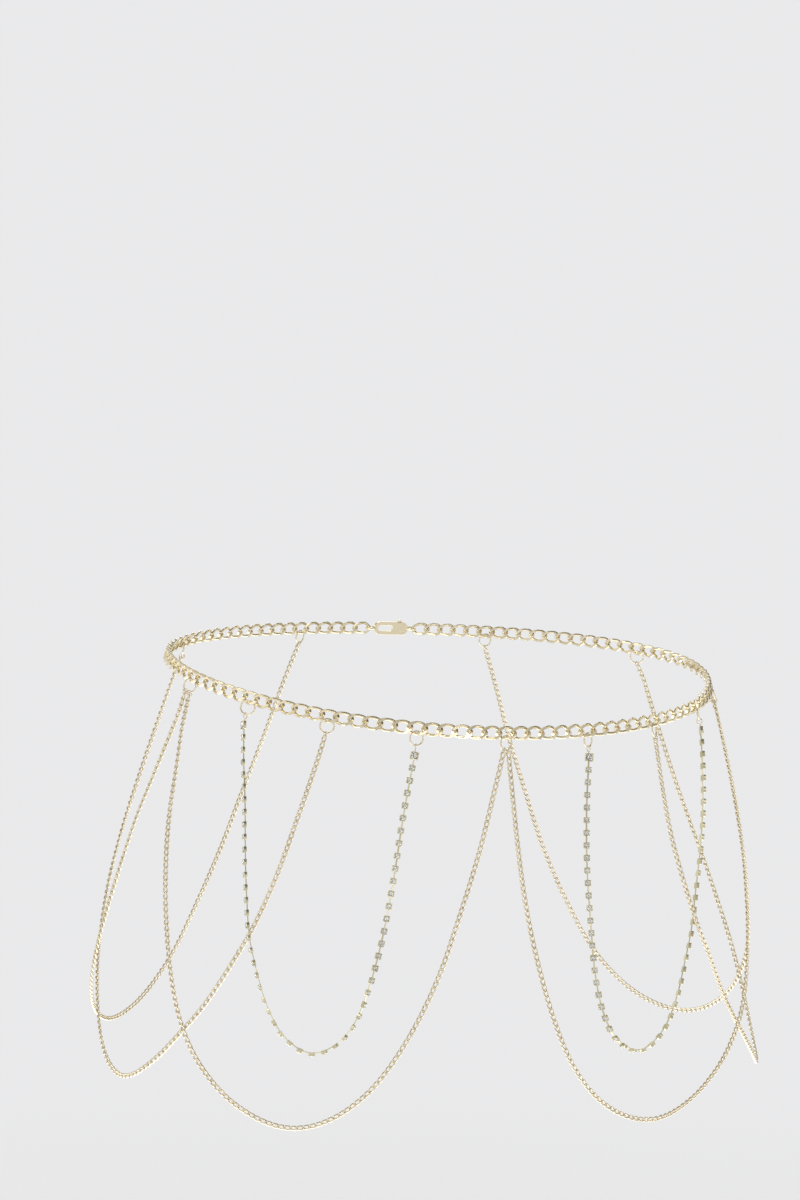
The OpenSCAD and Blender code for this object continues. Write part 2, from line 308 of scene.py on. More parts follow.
# what the three golds share; what sets them apart is in a dictionary for each, below
plating = {
    "tintShare": 0.4, "shiftFrom": 0.25, "shiftTo": 0.75, "wornFrom": 0.52, "wornTo": 0.68,
    "wornRough": 0.10, "tintRough": 0.05, "grainShare": 0.4, "scratchStretch": (1, 0.35, 2.6),
    "bumpDepth": 0.00004,
}


def platedGold(name, look):
    material, finish = newMaterial(name)
    place = finish.objectPlace()
    tint = finish.linkTint()
    broad = finish.noise(place, look["cloudScale"], detail=3, roughness=0.55)
    fine = finish.noise(place, look["grainScale"], detail=4, roughness=0.6)
    patches = finish.noise(place, look["wearScale"], detail=5, roughness=0.65)
    wear = finish.ramp(patches, [(plating["wornFrom"], 0), (plating["wornTo"], 1)])
    mixed = (1 - plating["tintShare"]) * broad + plating["tintShare"] * tint
    shift = finish.ramp(mixed, [(plating["shiftFrom"], 0), (plating["shiftTo"], 1)])
    colour = finish.blend(shift, look["pale"], look["deep"])
    colour = finish.blend(wear * look["wear"], colour, look["worn"])
    rough = look["rough"] + look["roughSpread"] * fine
    rough = rough + plating["wornRough"] * wear + plating["tintRough"] * tint
    stretched = finish.node("Mapping", {}, {"Vector": place, "Scale": plating["scratchStretch"]})
    lines = finish.noise(stretched, look["scratchScale"], detail=2, roughness=0.7)
    height = (1 - plating["grainShare"]) * lines + plating["grainShare"] * fine
    finish.surface(finish.node("BsdfPrincipled", {}, {
        "Base Color": colour, "Metallic": 1.0, "Roughness": rough,
        "Normal": finish.bump(look["bump"], plating["bumpDepth"], height)}))
    return material


beltGold = platedGold("beltGold", {
    "pale": (0.86, 0.77, 0.56), "deep": (0.74, 0.64, 0.42), "worn": (0.77, 0.73, 0.63), "wear": 0.35,
    "rough": 0.05, "roughSpread": 0.09, "cloudScale": 90, "grainScale": 1500, "wearScale": 260,
    "scratchScale": 2600, "bump": 0.25})
fineGold = platedGold("fineChainGold", {
    "pale": (0.82, 0.73, 0.55), "deep": (0.71, 0.62, 0.435), "worn": (0.75, 0.71, 0.61), "wear": 0.3,
    "rough": 0.13, "roughSpread": 0.12, "cloudScale": 60, "grainScale": 2200, "wearScale": 300,
    "scratchScale": 3600, "bump": 0.2})
cupGold = platedGold("cupGold", {
    "pale": (0.74, 0.68, 0.48), "deep": (0.52, 0.475, 0.29), "worn": (0.71, 0.68, 0.57), "wear": 0.35,
    "rough": 0.24, "roughSpread": 0.12, "cloudScale": 110, "grainScale": 1900, "wearScale": 340,
    "scratchScale": 3200, "bump": 0.25})


def cutCrystal(name, look):
    material, finish = newMaterial(name)
    haze = finish.noise(finish.objectPlace(), look["hazeScale"], detail=3)
    mixed = (1 - look["tintShare"]) * haze + look["tintShare"] * finish.linkTint()
    finish.surface(finish.node("BsdfPrincipled", {}, {
        "Base Color": finish.blend(mixed, look["clear"], look["cool"]),
        "Roughness": look["rough"] + look["roughSpread"] * haze,
        "IOR": look["ior"], "Transmission Weight": look["clearness"],
        "Normal": finish.bump(look["bump"], look["bumpDepth"], haze)}))
    return material


def foilBack(name, look):
    material, finish = newMaterial(name)
    cloud = finish.noise(finish.objectPlace(), look["cloudScale"], detail=3)
    finish.surface(finish.node("BsdfPrincipled", {}, {
        "Base Color": finish.blend(cloud, look["pale"], look["deep"]), "Metallic": 1.0,
        "Roughness": look["rough"] + look["roughSpread"] * cloud,
        "Normal": finish.bump(look["bump"], look["bumpDepth"], cloud)}))
    return material


crystal = cutCrystal("crystal", {
    "clear": (0.99, 0.985, 0.96), "cool": (0.94, 0.945, 0.94), "tintShare": 0.5, "rough": 0.0,
    "roughSpread": 0.05, "hazeScale": 900, "ior": 1.56, "clearness": 0.8, "bump": 0.08,
    "bumpDepth": 0.00003})
foil = foilBack("stoneFoil", {
    "pale": (0.99, 0.98, 0.95), "deep": (0.84, 0.83, 0.78), "rough": 0.08, "roughSpread": 0.14,
    "cloudScale": 800, "bump": 0.1, "bumpDepth": 0.00003})


# belt chain

sameLevel = 0.01        # a link's points are on one level if their shares of the rise differ by less


def curbLink(name, material, length, width, wire, twist, steps, sides, flats=()):
    # a ring of points, drawn out to an oval, its quarters raised and lowered in turn, then given its wire
    longRadius = (length - wire) / 2 * mm
    wideRadius = (width - wire) / 2 * mm
    # a point's share of the rise is the sine of twice its angle
    levels = sorted({round(abs(sinOf(720 * step / steps)), 4) for step in range(steps)} - {0})
    bpy.ops.object.select_all(action="DESELECT")
    bpy.ops.mesh.primitive_circle_add(vertices=steps, radius=1, location=(0, 0, 0))
    link = bpy.context.object
    link.name = name
    startEdit(link)
    for side in (-1, 1):
        for height in levels:
            choose(link, "VERT", lambda v: abs(2 * v.co.x * v.co.y * side + height) < sameLevel)
            bpy.ops.transform.translate(value=(0, 0, side * height * twist * mm))
    bpy.ops.mesh.select_all(action="SELECT")
    bpy.ops.transform.resize(value=(longRadius, wideRadius, 1), center_override=(0, 0, 0))
    endEdit()
    bpy.ops.object.convert(target="CURVE")
    link.data.fill_mode = "FULL"
    link.data.bevel_depth = wire / 2 * mm
    link.data.bevel_resolution = (sides - 4) // 2       # gives the wire this many sides
    bpy.ops.object.convert(target="MESH")
    link = bpy.context.object
    cleanUp(link)
    for normal, depth in flats:     # each cuts the wire flat, its edges kept crisp
        normal = Vector(normal).normalized()
        reach = max(vertex.co.dot(normal) for vertex in link.data.vertices)
        startEdit(link)
        bpy.ops.mesh.select_all(action="SELECT")
        bpy.ops.mesh.bisect(plane_co=normal * (reach - depth * mm), plane_no=normal,
                            use_fill=True, clear_outer=True)
        bpy.ops.mesh.mark_sharp()
        endEdit()
    pick(link)
    bpy.ops.object.shade_smooth()
    link.data.materials.append(material)
    return link


def linkPlace(link):
    # each link leans a little its own way, apart from those that hold a ring
    first, second = belt["swayBeats"]
    sway = belt["sway"] * math.sin(first * link) * math.sin(second * link + 1)
    if abs(link) in ringPlaces:
        sway = 0
    out = Matrix.Rotation(math.radians(sway), 3, alongAt(link)) @ outAt(link)
    return placed(placePoint(link, 0, 0), alongAt(link), out)


boldLength = pitch + belt["play"] + 2 * belt["boldWire"]
cutDepth = belt["twist"] + belt["boldWire"] / 2 - belt["cut"] / 2
flatX = cosOf(belt["flatTurn"])
flatY = sinOf(belt["flatTurn"])
linkFlats = [((0, 0, z), cutDepth) for z in (-1, 1)]
linkFlats += [((x * flatX, y * flatY, z * belt["flatTilt"]), belt["flatDepth"])
              for x in (-1, 1) for y in (-1, 1) for z in (-1, 1)]
linkModel = curbLink("linkModel", beltGold, boldLength, belt["linkWidth"], belt["boldWire"],
                     belt["twist"], belt["steps"], belt["sides"], linkFlats)
leftLinks = [linkPlace(k) for k in range(-belt["halfLinks"], 0)]
rightLinks = [linkPlace(k) for k in range(0, belt["halfLinks"] + 1)]
beltLeft = strung("beltChainLeft", linkModel, leftLinks, belt["seeds"][0])
beltRight = strung("beltChainRight", linkModel, rightLinks, belt["seeds"][1])
tidyAway(linkModel)
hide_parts("belt_left")
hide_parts("belt_right")
print("belt chain:", len(leftLinks) + len(rightLinks), "curb links")


# jump rings

# wire is that of the solid ring, which places it, and slimWire is the wire drawn here.
# topUp lifts the ring's top into its link, with its low point left where it is.
jumpRing = {
    "outer": 7.6, "wire": 0.9, "slimWire": 0.8, "topUp": 0.15, "turn": 25, "clear": 0.12,
    "seam": 4, "seamAt": 62, "seamStep": 23, "sides": 12, "steps": 44, "seed": 20,
}
ringRadius = (jumpRing["outer"] - jumpRing["wire"]) / 2
linkHalf = (belt["linkWidth"] - belt["wire"]) / 2
linkLow = linkHalf * cosOf(180 / belt["solidCorners"]) - belt["wire"] / 2
ringTop = linkLow - jumpRing["wire"] / 2 - 1.5 * jumpRing["clear"]
ringDrop = ringTop + ringRadius


def wireRing(name, material, radius, wire, sides, steps, seam=0):
    # a round section spun about the ring's axis; a seam is a saw cut of that many degrees
    bpy.ops.object.select_all(action="DESELECT")
    bpy.ops.mesh.primitive_circle_add(vertices=sides, radius=wire / 2 * mm,
                                      fill_type="NGON" if seam else "NOTHING",
                                      location=(radius * mm, 0, 0), rotation=(math.pi / 2, 0, 0))
    ring = bpy.context.object
    ring.name = name
    fixPlace(ring)
    startEdit(ring)
    bpy.ops.mesh.select_all(action="SELECT")
    bpy.ops.mesh.spin(steps=steps, angle=math.radians(360 - seam), center=(0, 0, 0), axis=(0, 0, 1))
    endEdit()
    cleanUp(ring)
    pick(ring)
    bpy.ops.object.shade_smooth_by_angle(angle=math.radians(40))
    ring.data.materials.append(material)
    return ring


def ringPlace(link):
    x = alongAt(link)
    y = -downAt(link)
    z = x.cross(y)
    turn = jumpRing["turn"]
    middle = placePoint(link, 0, 0) - y * (ringDrop - jumpRing["topUp"] / 2)
    return placed(middle, x * cosOf(turn) - z * sinOf(turn), x * sinOf(turn) + z * cosOf(turn))


ringModel = wireRing("ringModel", fineGold, ringRadius + jumpRing["topUp"] / 2, jumpRing["slimWire"],
                     jumpRing["sides"], jumpRing["steps"], jumpRing["seam"])
rings = []
for number, link in enumerate(ringPlaces):
    for side, word in ((-1, "left"), (1, "right")) if link else ((1, "front"),):
        node = "ring_%s_%d" % (word, number) if link else "ring_front"
        name = "jumpRing.%s%d" % (word, number) if link else "jumpRing.front"
        seamAngle = jumpRing["seamAt"] + jumpRing["seamStep"] * number * side
        place = ringPlace(side * link) @ Matrix.Rotation(math.radians(seamAngle), 4, "Z")
        ring = strung(name, ringModel, [place], jumpRing["seed"] + number)
        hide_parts(node)
        rings.append(ring)
tidyAway(ringModel)
print("jump rings:", len(rings))


# strands: the routes as in the part's source
# each row: belt link, drop below the belt, stand off the surface, and on a stone chain the turn of its cups

routes = {
    "frontSwagLeft": [
        (-23.8, 10.3, -0.5), (-23.6, 20, 0.3), (-22.9, 42, 0), (-22.3, 66, 0), (-21.4, 92, 0),
        (-20.4, 117, 0.2), (-19.2, 142, 1.3), (-18.3, 158, 1.4), (-17, 173, 1.1), (-14.9, 187, 0.2),
        (-12, 194, 0), (-9.4, 188, 0), (-7, 171, 0), (-5.1, 146, 0), (-3.6, 117, 0),
        (-2.5, 86, 0), (-1.5, 56, 0), (-0.8, 31, 0), (-0.2, 10.3, 0.5)],
    "frontSwagRight": [
        (0.2, 10.3, -0.5), (0.4, 24, 0), (0.8, 50, 0), (1.3, 78, 0), (2, 105, 0),
        (3.1, 136, 0), (4.6, 163, 0), (6.8, 182, 0), (9.8, 191, 0), (12.8, 186, 0.2),
        (15.4, 174, 1.1), (17, 163, 1.4), (18.3, 151, 1.4), (19.9, 128, 0.6), (21.2, 103, 0),
        (22.4, 78, 0), (23.2, 52, 0), (23.7, 28, 0.2), (23.8, 10.3, 0.5)],
    "hipSwagLeft": [
        (-12, 10.3, 0), (-12.3, 26, -0.2), (-12.8, 49, -0.4), (-13.5, 77, -0.8), (-14.3, 99, -1),
        (-14.9, 111, -1), (-16.1, 131, -0.7), (-17.3, 147, -1.1), (-18.8, 162, -1.1), (-20.6, 178, -0.6),
        (-23, 192, 0), (-25, 194, 0), (-27.2, 186, -0.6), (-29, 170, -1.1), (-30.6, 149, -1.1),
        (-32, 128, -0.6), (-33.4, 101, 0), (-34.5, 74, 0), (-35.3, 45, 0), (-36, 10.3, 0)],
    "hipSwagRight": [
        (12, 10.3, 0), (12, 30, 0), (12.2, 57, 0.4), (12.8, 83, 1.6), (13.4, 99, 2),
        (13.9, 109, 2), (14.8, 123, 1.4), (16, 138, -0.4), (17.3, 151, -1.1), (18.7, 163, -1.1),
        (20.8, 178, -0.6), (23.2, 191, 0), (25.2, 193, 0), (27.4, 185, -0.6), (29.1, 170, -1.1),
        (30.6, 149, -1.1), (32, 128, -0.6), (33.4, 101, 0), (34.5, 74, 0), (35.3, 45, 0), (36, 10.3, 0)],
    "backSwagLeft": [
        (-24.2, 10.3, 0.5), (-24.6, 28, 0.2), (-25.3, 50, 0), (-26.2, 74, 0), (-27, 99, 0),
        (-27.9, 122, 0.4), (-28.9, 143, 1.3), (-30, 160, 1.4), (-31.6, 177, 1), (-33.8, 190, 0.2),
        (-36.2, 194, 0), (-38.8, 188, 0), (-41.2, 171, 0), (-43, 146, 0), (-44.5, 117, 0),
        (-45.6, 86, 0), (-46.6, 56, 0), (-47.3, 31, 0), (-48, 10.3, 0)],
    "stoneSwagLeft": [
        (-18, 13, 0, 35), (-17.3, 30, 0, 50), (-16.5, 48, 0.2, 50), (-15.6, 74, 1, 55),
        (-14.9, 95, 1.9, 55), (-14.5, 108, 1.9, 60), (-13.9, 122, 1.2, 65), (-13.1, 138, 0.2, 75),
        (-12, 151, 0, 90), (-10.5, 157, 0, 95), (-9.1, 152, 0, 90), (-8, 140, 0, 75),
        (-7.3, 121, 0, 50), (-6.8, 97, 0, 10), (-6.5, 70, 0, -15), (-6.3, 40, 0, -25),
        (-6, 13, 0, -10)],
    "stoneSwagRight": [
        (6, 13, 0, 10), (5.6, 36, 0, 15), (5.4, 64, 0, 20), (5.5, 93, 0, 30),
        (5.7, 116, 0, 40), (6.2, 135, 0, 50), (7.1, 149, 0, 65), (8.7, 156, 0, 80),
        (10.4, 149, 0, 75), (11.6, 135, -0.3, 65), (12.6, 118, -0.9, 60), (13.5, 103, -1.2, 60),
        (14.2, 86, -0.9, 60), (15.1, 67, 0, 60), (16.2, 48, 0, 60), (17.2, 29, 0, 55),
        (18, 13, 0, 35)],
}
routes["backSwagRight"] = [(-row[0],) + row[1:] for row in routes["backSwagLeft"]]
# drops over routeHang are scaled, so that a row at routeLow hangs at drop
swagDrop = {"drop": 195, "routeLow": 194, "routeHang": 13}
rowSteps = 6        # points between two rows, for measuring a route


def lowered(drop):
    hang = swagDrop["routeHang"]
    if drop <= hang:
        return drop
    return hang + (drop - hang) * (swagDrop["drop"] - hang) / (swagDrop["routeLow"] - hang)


def rowAt(route, x):
    # the rows joined by a smooth curve through all of them
    last = len(route) - 1
    k = max(0, min(int(math.floor(x)), last - 1))
    u = x - k
    rows = np.array([route[max(k - 1, 0)], route[k], route[k + 1], route[min(k + 2, last)]], dtype=float)
    p, q, r, s = rows
    row = 0.5 * (2 * q + (r - p) * u + (2 * p - 5 * q + 4 * r - s) * u * u + (3 * q - p - 3 * r + s) * u ** 3)
    row[1] = lowered(row[1])
    return row


def spaced(route, distances):
    # rows at these distances along the route; distances is a function of the whole length
    places = [k / rowSteps for k in range(rowSteps * (len(route) - 1) + 1)]
    points = [placePoint(*rowAt(route, place)[:3]) for place in places]
    sums = [0]
    for near, far in zip(points, points[1:]):
        sums.append(sums[-1] + (far - near).length)
    return [rowAt(route, float(np.interp(s, sums, places))) for s in distances(sums[-1])]


def ways(points):
    # the direction in which a line of points runs, at each of them
    last = len(points) - 1
    return [(points[min(k + 1, last)] - points[max(k - 1, 0)]).normalized() for k in range(last + 1)]


# fine chain: small curb links along each route's straight sections, hung at both ends in a loop

# An end link points to the strand's point at reach. Over slackEnd the roll and the lift grow from none.
# Two loops that share a ring hang pairSide to each side of its low point.
fineChain = {
    "width": 2.55, "wire": 0.75, "twist": 0.53, "pitch": 3.05, "play": 0.32, "steps": 12, "sides": 6,
    "sections": 54, "fits": 4, "smoothings": 3, "reach": 7, "hookGap": 0.08, "lift": 0.16, "slackEnd": 25,
    "roll": 15, "rollLength": 118, "rollShare": 0.45, "rollBeat": 5.1,
    "loopOuter": 3.4, "loopWire": 0.5, "loopSides": 10, "loopSteps": 24, "loopSeed": 3,
    "pairSide": 1.3,
}
fineLength = fineChain["pitch"] + fineChain["play"] + 2 * fineChain["wire"]
loopRadius = (fineChain["loopOuter"] - fineChain["loopWire"]) / 2


def loopUp(side):
    # how far a loop's wire passes over the ring's wire it hangs on, further where two hang side by side
    wires = jumpRing["wire"] / 2 + fineChain["loopWire"] / 2
    return wires + jumpRing["clear"] * (1 + 1.5 * abs(side))


def ringLow(link, side):
    x = alongAt(link)
    y = -downAt(link)
    across = x * cosOf(jumpRing["turn"]) - x.cross(y) * sinOf(jumpRing["turn"])
    return placePoint(link, 0, 0) - y * ringDrop + side * across - y * math.sqrt(ringRadius ** 2 - side ** 2)


def loopPlace(link, side, way):
    # the loop hangs from its ring in the direction in which the strand leaves
    middle = ringLow(link, side) + way * (loopRadius - loopUp(side))
    return placed(middle, way, squareTo(alongAt(link), way).normalized())


def hungLink(end, near):
    # the link that hangs in the end loop: its middle and its direction, towards a point of the strand
    way = (near - ringLow(*end)).normalized()
    hook = (jumpRing["slimWire"] + fineChain["wire"]) / 2 + fineChain["hookGap"]
    return ringLow(*end) + way * (hook + (fineLength - fineChain["wire"]) / 2), way


fineModel = curbLink("fineModel", fineGold, fineLength, fineChain["width"], fineChain["wire"],
                     fineChain["twist"], fineChain["steps"], fineChain["sides"])
loopModel = wireRing("loopModel", fineGold, loopRadius, fineChain["loopWire"],
                     fineChain["loopSides"], fineChain["loopSteps"])


def rollAt(number, phase):
    # the strand's slow roll, which shows its links now from the face and now from the edge
    travel = number * fineChain["pitch"] / fineChain["rollLength"]
    roll = math.sin(2 * math.pi * travel + phase)
    roll += fineChain["rollShare"] * math.sin(fineChain["rollBeat"] * travel + 2 * phase)
    return fineChain["roll"] * roll


def fineStrand(name, node, ends, phase):
    sections = spaced(routes[name], lambda whole: np.linspace(0, whole, fineChain["sections"]))
    corners = [placePoint(*row[:3]) for row in sections]
    sums = np.cumsum([0] + [(far - near).length for near, far in zip(corners, corners[1:])])
    linkPitch = fineChain["pitch"]

    def pathPoint(s):
        return Vector([np.interp(s, sums, [corner[axis] for corner in corners]) for axis in range(3)])

    # the links run evenly between those that hang in the two end loops
    first, firstWay = hungLink(ends[0], pathPoint(fineChain["reach"]))
    last, lastWay = hungLink(ends[1], pathPoint(sums[-1] - fineChain["reach"]))
    begin = linkPitch
    end = sums[-1] - linkPitch
    for fit in range(fineChain["fits"]):
        begin += linkPitch - (pathPoint(begin) - first).length
        end -= linkPitch - (pathPoint(end) - last).length
    count = round((end - begin) / linkPitch)
    distances = [begin - linkPitch, *np.linspace(begin, end, count + 1), end + linkPitch]
    points = [first] + [pathPoint(s) for s in distances[1:-1]] + [last]
    for smoothing in range(fineChain["smoothings"]):
        middles = [(near + 2 * here + far) / 4 for near, here, far in zip(points, points[1:], points[2:])]
        points = [first] + middles + [last]
    linkWays = ways(points)
    linkWays[0] = firstWay
    linkWays[-1] = -lastWay
    rows = [[np.interp(s, sums, [row[column] for row in sections]) for column in range(3)] for s in distances]
    places = []
    for k, (row, point, way) in enumerate(zip(rows, points, linkWays)):
        face = squareTo(outAt(*row[:3]), way).normalized()
        fromEnd = min(k, len(rows) - 1 - k) * linkPitch
        slack = min(1, fromEnd / fineChain["slackEnd"])
        point = point + Vector((0, 0, fineChain["lift"] * slack))
        face = Matrix.Rotation(math.radians(rollAt(k, phase) * slack), 3, way) @ face
        places.append(placed(point, way, face))
    links = strung(name, fineModel, places, len(name))      # the name's length seeds the tints
    loopPlaces = [loopPlace(*ends[0], firstWay), loopPlace(*ends[1], lastWay)]
    loops = strung(name + "Loops", loopModel, loopPlaces, fineChain["loopSeed"])
    strand = joinAs(name, [links, loops])
    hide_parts(node)
    print("fine chain:", name, len(places), "links")
    return strand


# an end is a belt link with a ring, and how far to a side of the ring the loop hangs
pairSide = fineChain["pairSide"]
fineStrands = [
    fineStrand("frontSwagLeft", "front_swag_left", [(-24, pairSide), (0, -pairSide)], 0.4),
    fineStrand("frontSwagRight", "front_swag_right", [(0, pairSide), (24, -pairSide)], 1.9),
    fineStrand("hipSwagLeft", "hip_swag_left", [(-12, 0), (-36, 0)], 3.1),
    fineStrand("hipSwagRight", "hip_swag_right", [(12, 0), (36, 0)], 4.6),
    fineStrand("backSwagLeft", "back_swag_left", [(-24, -pairSide), (-48, 0)], 5.2),
    fineStrand("backSwagRight", "back_swag_right", [(24, pairSide), (48, 0)], 2.3),
]
tidyAway(fineModel)


# stone chain

# The seat is seatShare as wide as the opening, and the girdle is girdleDown below the rim.
# A bar is barShort shorter than the step between two cups, and a stem runs stemInto its cup.
stoneChain = {
    "stones": 55, "cup": 2.9, "endCup": 3.9, "cupHeight": 1.3, "corner": 0.18, "wall": 0.14, "seat": 0.85,
    "seatShare": 0.6, "prong": 0.62, "prongHeight": 0.35, "prongEdge": 0.13, "lean": 0.2,
    "stone": 2.58, "endStone": 3.4, "girdleDown": 0.06, "crown": 0.55, "pavilion": 0.8, "table": 0.6,
    "girdleSides": 16, "tableSides": 8, "barWidth": 0.75, "barThick": 0.4, "barUp": 0.2, "barShort": 2,
    "stemInto": 0.3, "seed": 31,
}
cupBack = stoneChain["cupHeight"] / 2
girdleUp = cupBack - stoneChain["girdleDown"]


def boxAdd(name, material, size, location):
    bpy.ops.object.select_all(action="DESELECT")
    bpy.ops.mesh.primitive_cube_add(size=1, location=[v * mm for v in location], scale=[v * mm for v in size])
    box = bpy.context.object
    box.name = name
    fixPlace(box)
    box.data.materials.append(material)
    return box


def clawModel(side, x, y):
    # a folded claw that stands in one corner of a cup and leans over the stone
    prong = stoneChain["prong"]
    height = cupBack + stoneChain["prongHeight"]
    middle = side / 2 - prong / 2
    claw = boxAdd("claw", cupGold, (prong, prong, height), (x * middle, y * middle, height / 2))
    startEdit(claw)
    choose(claw, "FACE", lambda f: f.normal.z > 0.9)
    lean = stoneChain["lean"] * mm
    bpy.ops.transform.translate(value=(-x * lean, -y * lean, 0))
    choose(claw, "EDGE", lambda e: min(v.co.z for v in e.verts) > 0.01 * mm or rise(e) > 0.1 * mm)
    bpy.ops.mesh.bevel(offset=stoneChain["prongEdge"] * mm, segments=1, affect="EDGES")
    endEdit()
    return claw


def cupModel(name, side):
    # a square box, its top inset and sunk to a narrower seat, with a claw at each corner
    cup = boxAdd(name, cupGold, (side, side, stoneChain["cupHeight"]), (0, 0, 0))
    startEdit(cup)
    choose(cup, "EDGE", lambda e: rise(e) > 0.5 * mm)
    bpy.ops.mesh.bevel(offset=stoneChain["corner"] * mm, segments=1, affect="EDGES")
    choose(cup, "FACE", lambda f: f.normal.z > 0.9)
    bpy.ops.mesh.inset(thickness=stoneChain["wall"] * mm)
    bpy.ops.mesh.extrude_region_move(TRANSFORM_OT_translate={"value": (0, 0, -stoneChain["seat"] * mm)})
    share = stoneChain["seatShare"]
    bpy.ops.transform.resize(value=(share, share, 1), center_override=(0, 0, 0))
    endEdit()
    claws = [clawModel(side, x, y) for x in (-1, 1) for y in (-1, 1)]
    cup = joinAs(name, [cup] + claws)
    pick(cup)
    bpy.ops.object.shade_smooth_by_angle(angle=math.radians(50))
    return cup


def stoneModel(name, width):
    # a round cut stone: girdle, crown drawn in to a table that is turned against it, and a point below
    radius = width / 2 * mm
    level = girdleUp * mm
    tableLevel = (girdleUp + stoneChain["crown"]) * mm
    bpy.ops.object.select_all(action="DESELECT")
    bpy.ops.mesh.primitive_circle_add(vertices=stoneChain["girdleSides"], radius=radius,
                                      location=(0, 0, level))
    girdle = bpy.context.object
    girdle.name = name
    fixPlace(girdle)
    bpy.ops.object.select_all(action="DESELECT")
    bpy.ops.mesh.primitive_circle_add(vertices=stoneChain["tableSides"], radius=radius * stoneChain["table"],
                                      fill_type="NGON", location=(0, 0, tableLevel))
    table = bpy.context.object
    fixPlace(table)
    stone = joinAs(name, [girdle, table])
    startEdit(stone)
    choose(stone, "EDGE", lambda e: not e.link_faces or any(v.co.z > level + 0.1 * mm for v in e.verts))
    bpy.ops.mesh.bridge_edge_loops()
    choose(stone, "VERT", lambda v: abs(v.co.z - level) < 0.01 * mm)
    bpy.ops.mesh.select_mode(type="EDGE")
    bpy.ops.mesh.extrude_edges_move(TRANSFORM_OT_translate={"value": (0, 0, -stoneChain["pavilion"] * mm)})
    bpy.ops.mesh.merge(type="CENTER")
    endEdit()
    cleanUp(stone)
    stone.data.materials.append(crystal)
    stone.data.materials.append(foil)
    startEdit(stone)
    choose(stone, "FACE", lambda f: f.calc_center_median().z < level - 0.05 * mm)
    stone.active_material_index = 1
    bpy.ops.object.material_slot_assign()
    endEdit()
    return stone


cup = cupModel("cupModel", stoneChain["cup"])
endCup = cupModel("endCupModel", stoneChain["endCup"])
stone = stoneModel("stoneModel", stoneChain["stone"])
endStone = stoneModel("endStoneModel", stoneChain["endStone"])
# a bar and a stem are a millimetre long here and drawn out where they are placed
barModel = boxAdd("barModel", cupGold, (1, stoneChain["barWidth"], stoneChain["barThick"]),
                  (0, 0, stoneChain["barThick"] / 2))
bpy.ops.object.select_all(action="DESELECT")
bpy.ops.mesh.primitive_cylinder_add(vertices=fineChain["loopSides"], radius=fineChain["loopWire"] / 2 * mm,
                                    depth=1 * mm, rotation=(0, math.pi / 2, 0), location=(0.5 * mm, 0, 0))
stemModel = bpy.context.object
fixPlace(stemModel)
stemModel.data.materials.append(cupGold)
bpy.ops.object.shade_smooth_by_angle(angle=math.radians(40))


def drawnOut(length):
    return Matrix.Diagonal((length, 1, 1, 1))


def stoneStrand(name, node, ends):
    count = stoneChain["stones"]
    rows = spaced(routes[name], lambda whole: [whole * k / (count - 1) for k in range(count)])
    points = [placePoint(*row[:3]) for row in rows]
    cupWays = ways(points)
    faces = []
    for row, way in zip(rows, cupWays):
        out = outAt(*row[:3])
        outer = way.cross(out).normalized()
        faces.append(squareTo(cosOf(row[3]) * out + sinOf(row[3]) * outer, way).normalized())
    places = [placed(point, way, face) for point, way, face in zip(points, cupWays, faces)]
    endPlaces = [places[0], places[-1]]
    bars = []
    for k in range(count - 1):
        step = points[k + 1] - points[k]
        way = step.normalized()
        up = squareTo(faces[k] + faces[k + 1], way).normalized()
        middle = (points[k] + points[k + 1]) / 2 + up * (stoneChain["barUp"] - cupBack)
        bars.append(placed(middle, way, up) @ drawnOut(step.length - stoneChain["barShort"]))
    loops = []
    stems = []
    for (link, side), point in zip(ends, (points[0], points[-1])):
        way = (point - ringLow(link, side)).normalized()
        top = ringLow(link, side) + way * (2 * loopRadius - loopUp(side))
        length = (point - top).length - stoneChain["endCup"] / 2 + stoneChain["stemInto"]
        loops.append(loopPlace(link, side, way))
        stems.append(placed(top, way, alongAt(link).cross(way).normalized()) @ drawnOut(length))
    seed = stoneChain["seed"]
    strand = joinAs(name, [
        strung(name, cup, places[1:-1], seed),
        strung(name + "Ends", endCup, endPlaces, seed + 1),
        strung(name + "Bars", barModel, bars, seed + 2),
        strung(name + "Loops", loopModel, loops, seed + 3),
        strung(name + "Stems", stemModel, stems, seed + 4),
    ])
    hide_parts(node)
    crystals = joinAs(name.replace("Swag", "Crystals"), [
        strung(name + "Stones", stone, places[1:-1], seed + 5),
        strung(name + "EndStones", endStone, endPlaces, seed + 6),
    ])
    print("stone chain:", name, count, "stones")
    return strand, crystals


stoneLeft, crystalsLeft = stoneStrand("stoneSwagLeft", "stone_swag_left", [(-18, 0), (-6, 0)])
stoneRight, crystalsRight = stoneStrand("stoneSwagRight", "stone_swag_right", [(6, 0), (18, 0)])
tidyAway(cup, endCup, stone, endStone, barModel, stemModel, loopModel)


# clasp at the back

clasp = {
    "width": 7, "thick": 2.6, "edge": 0.45, "slotShare": 0.45, "endSteps": 12, "roundShare": 0.498,
    "thumbSides": 24, "thumbRim": 0.2, "eyeWire": 1.2, "eyeOuter": 6, "eyeSides": 12, "eyeSteps": 36,
}
solidLength = pitch + belt["play"] + 2 * belt["wire"]       # a belt link of the part's source
longRadius = (solidLength - belt["wire"]) / 2
eyeRadius = (clasp["eyeOuter"] - clasp["eyeWire"]) / 2
linkEnd = belt["claspSpan"] / 2 - longRadius + belt["wire"] / 2
eyeX = linkEnd + 2 * jumpRing["clear"] + clasp["eyeWire"] / 2 - eyeRadius
bodyLength = 2 * (eyeX - eyeRadius) + clasp["eyeWire"]


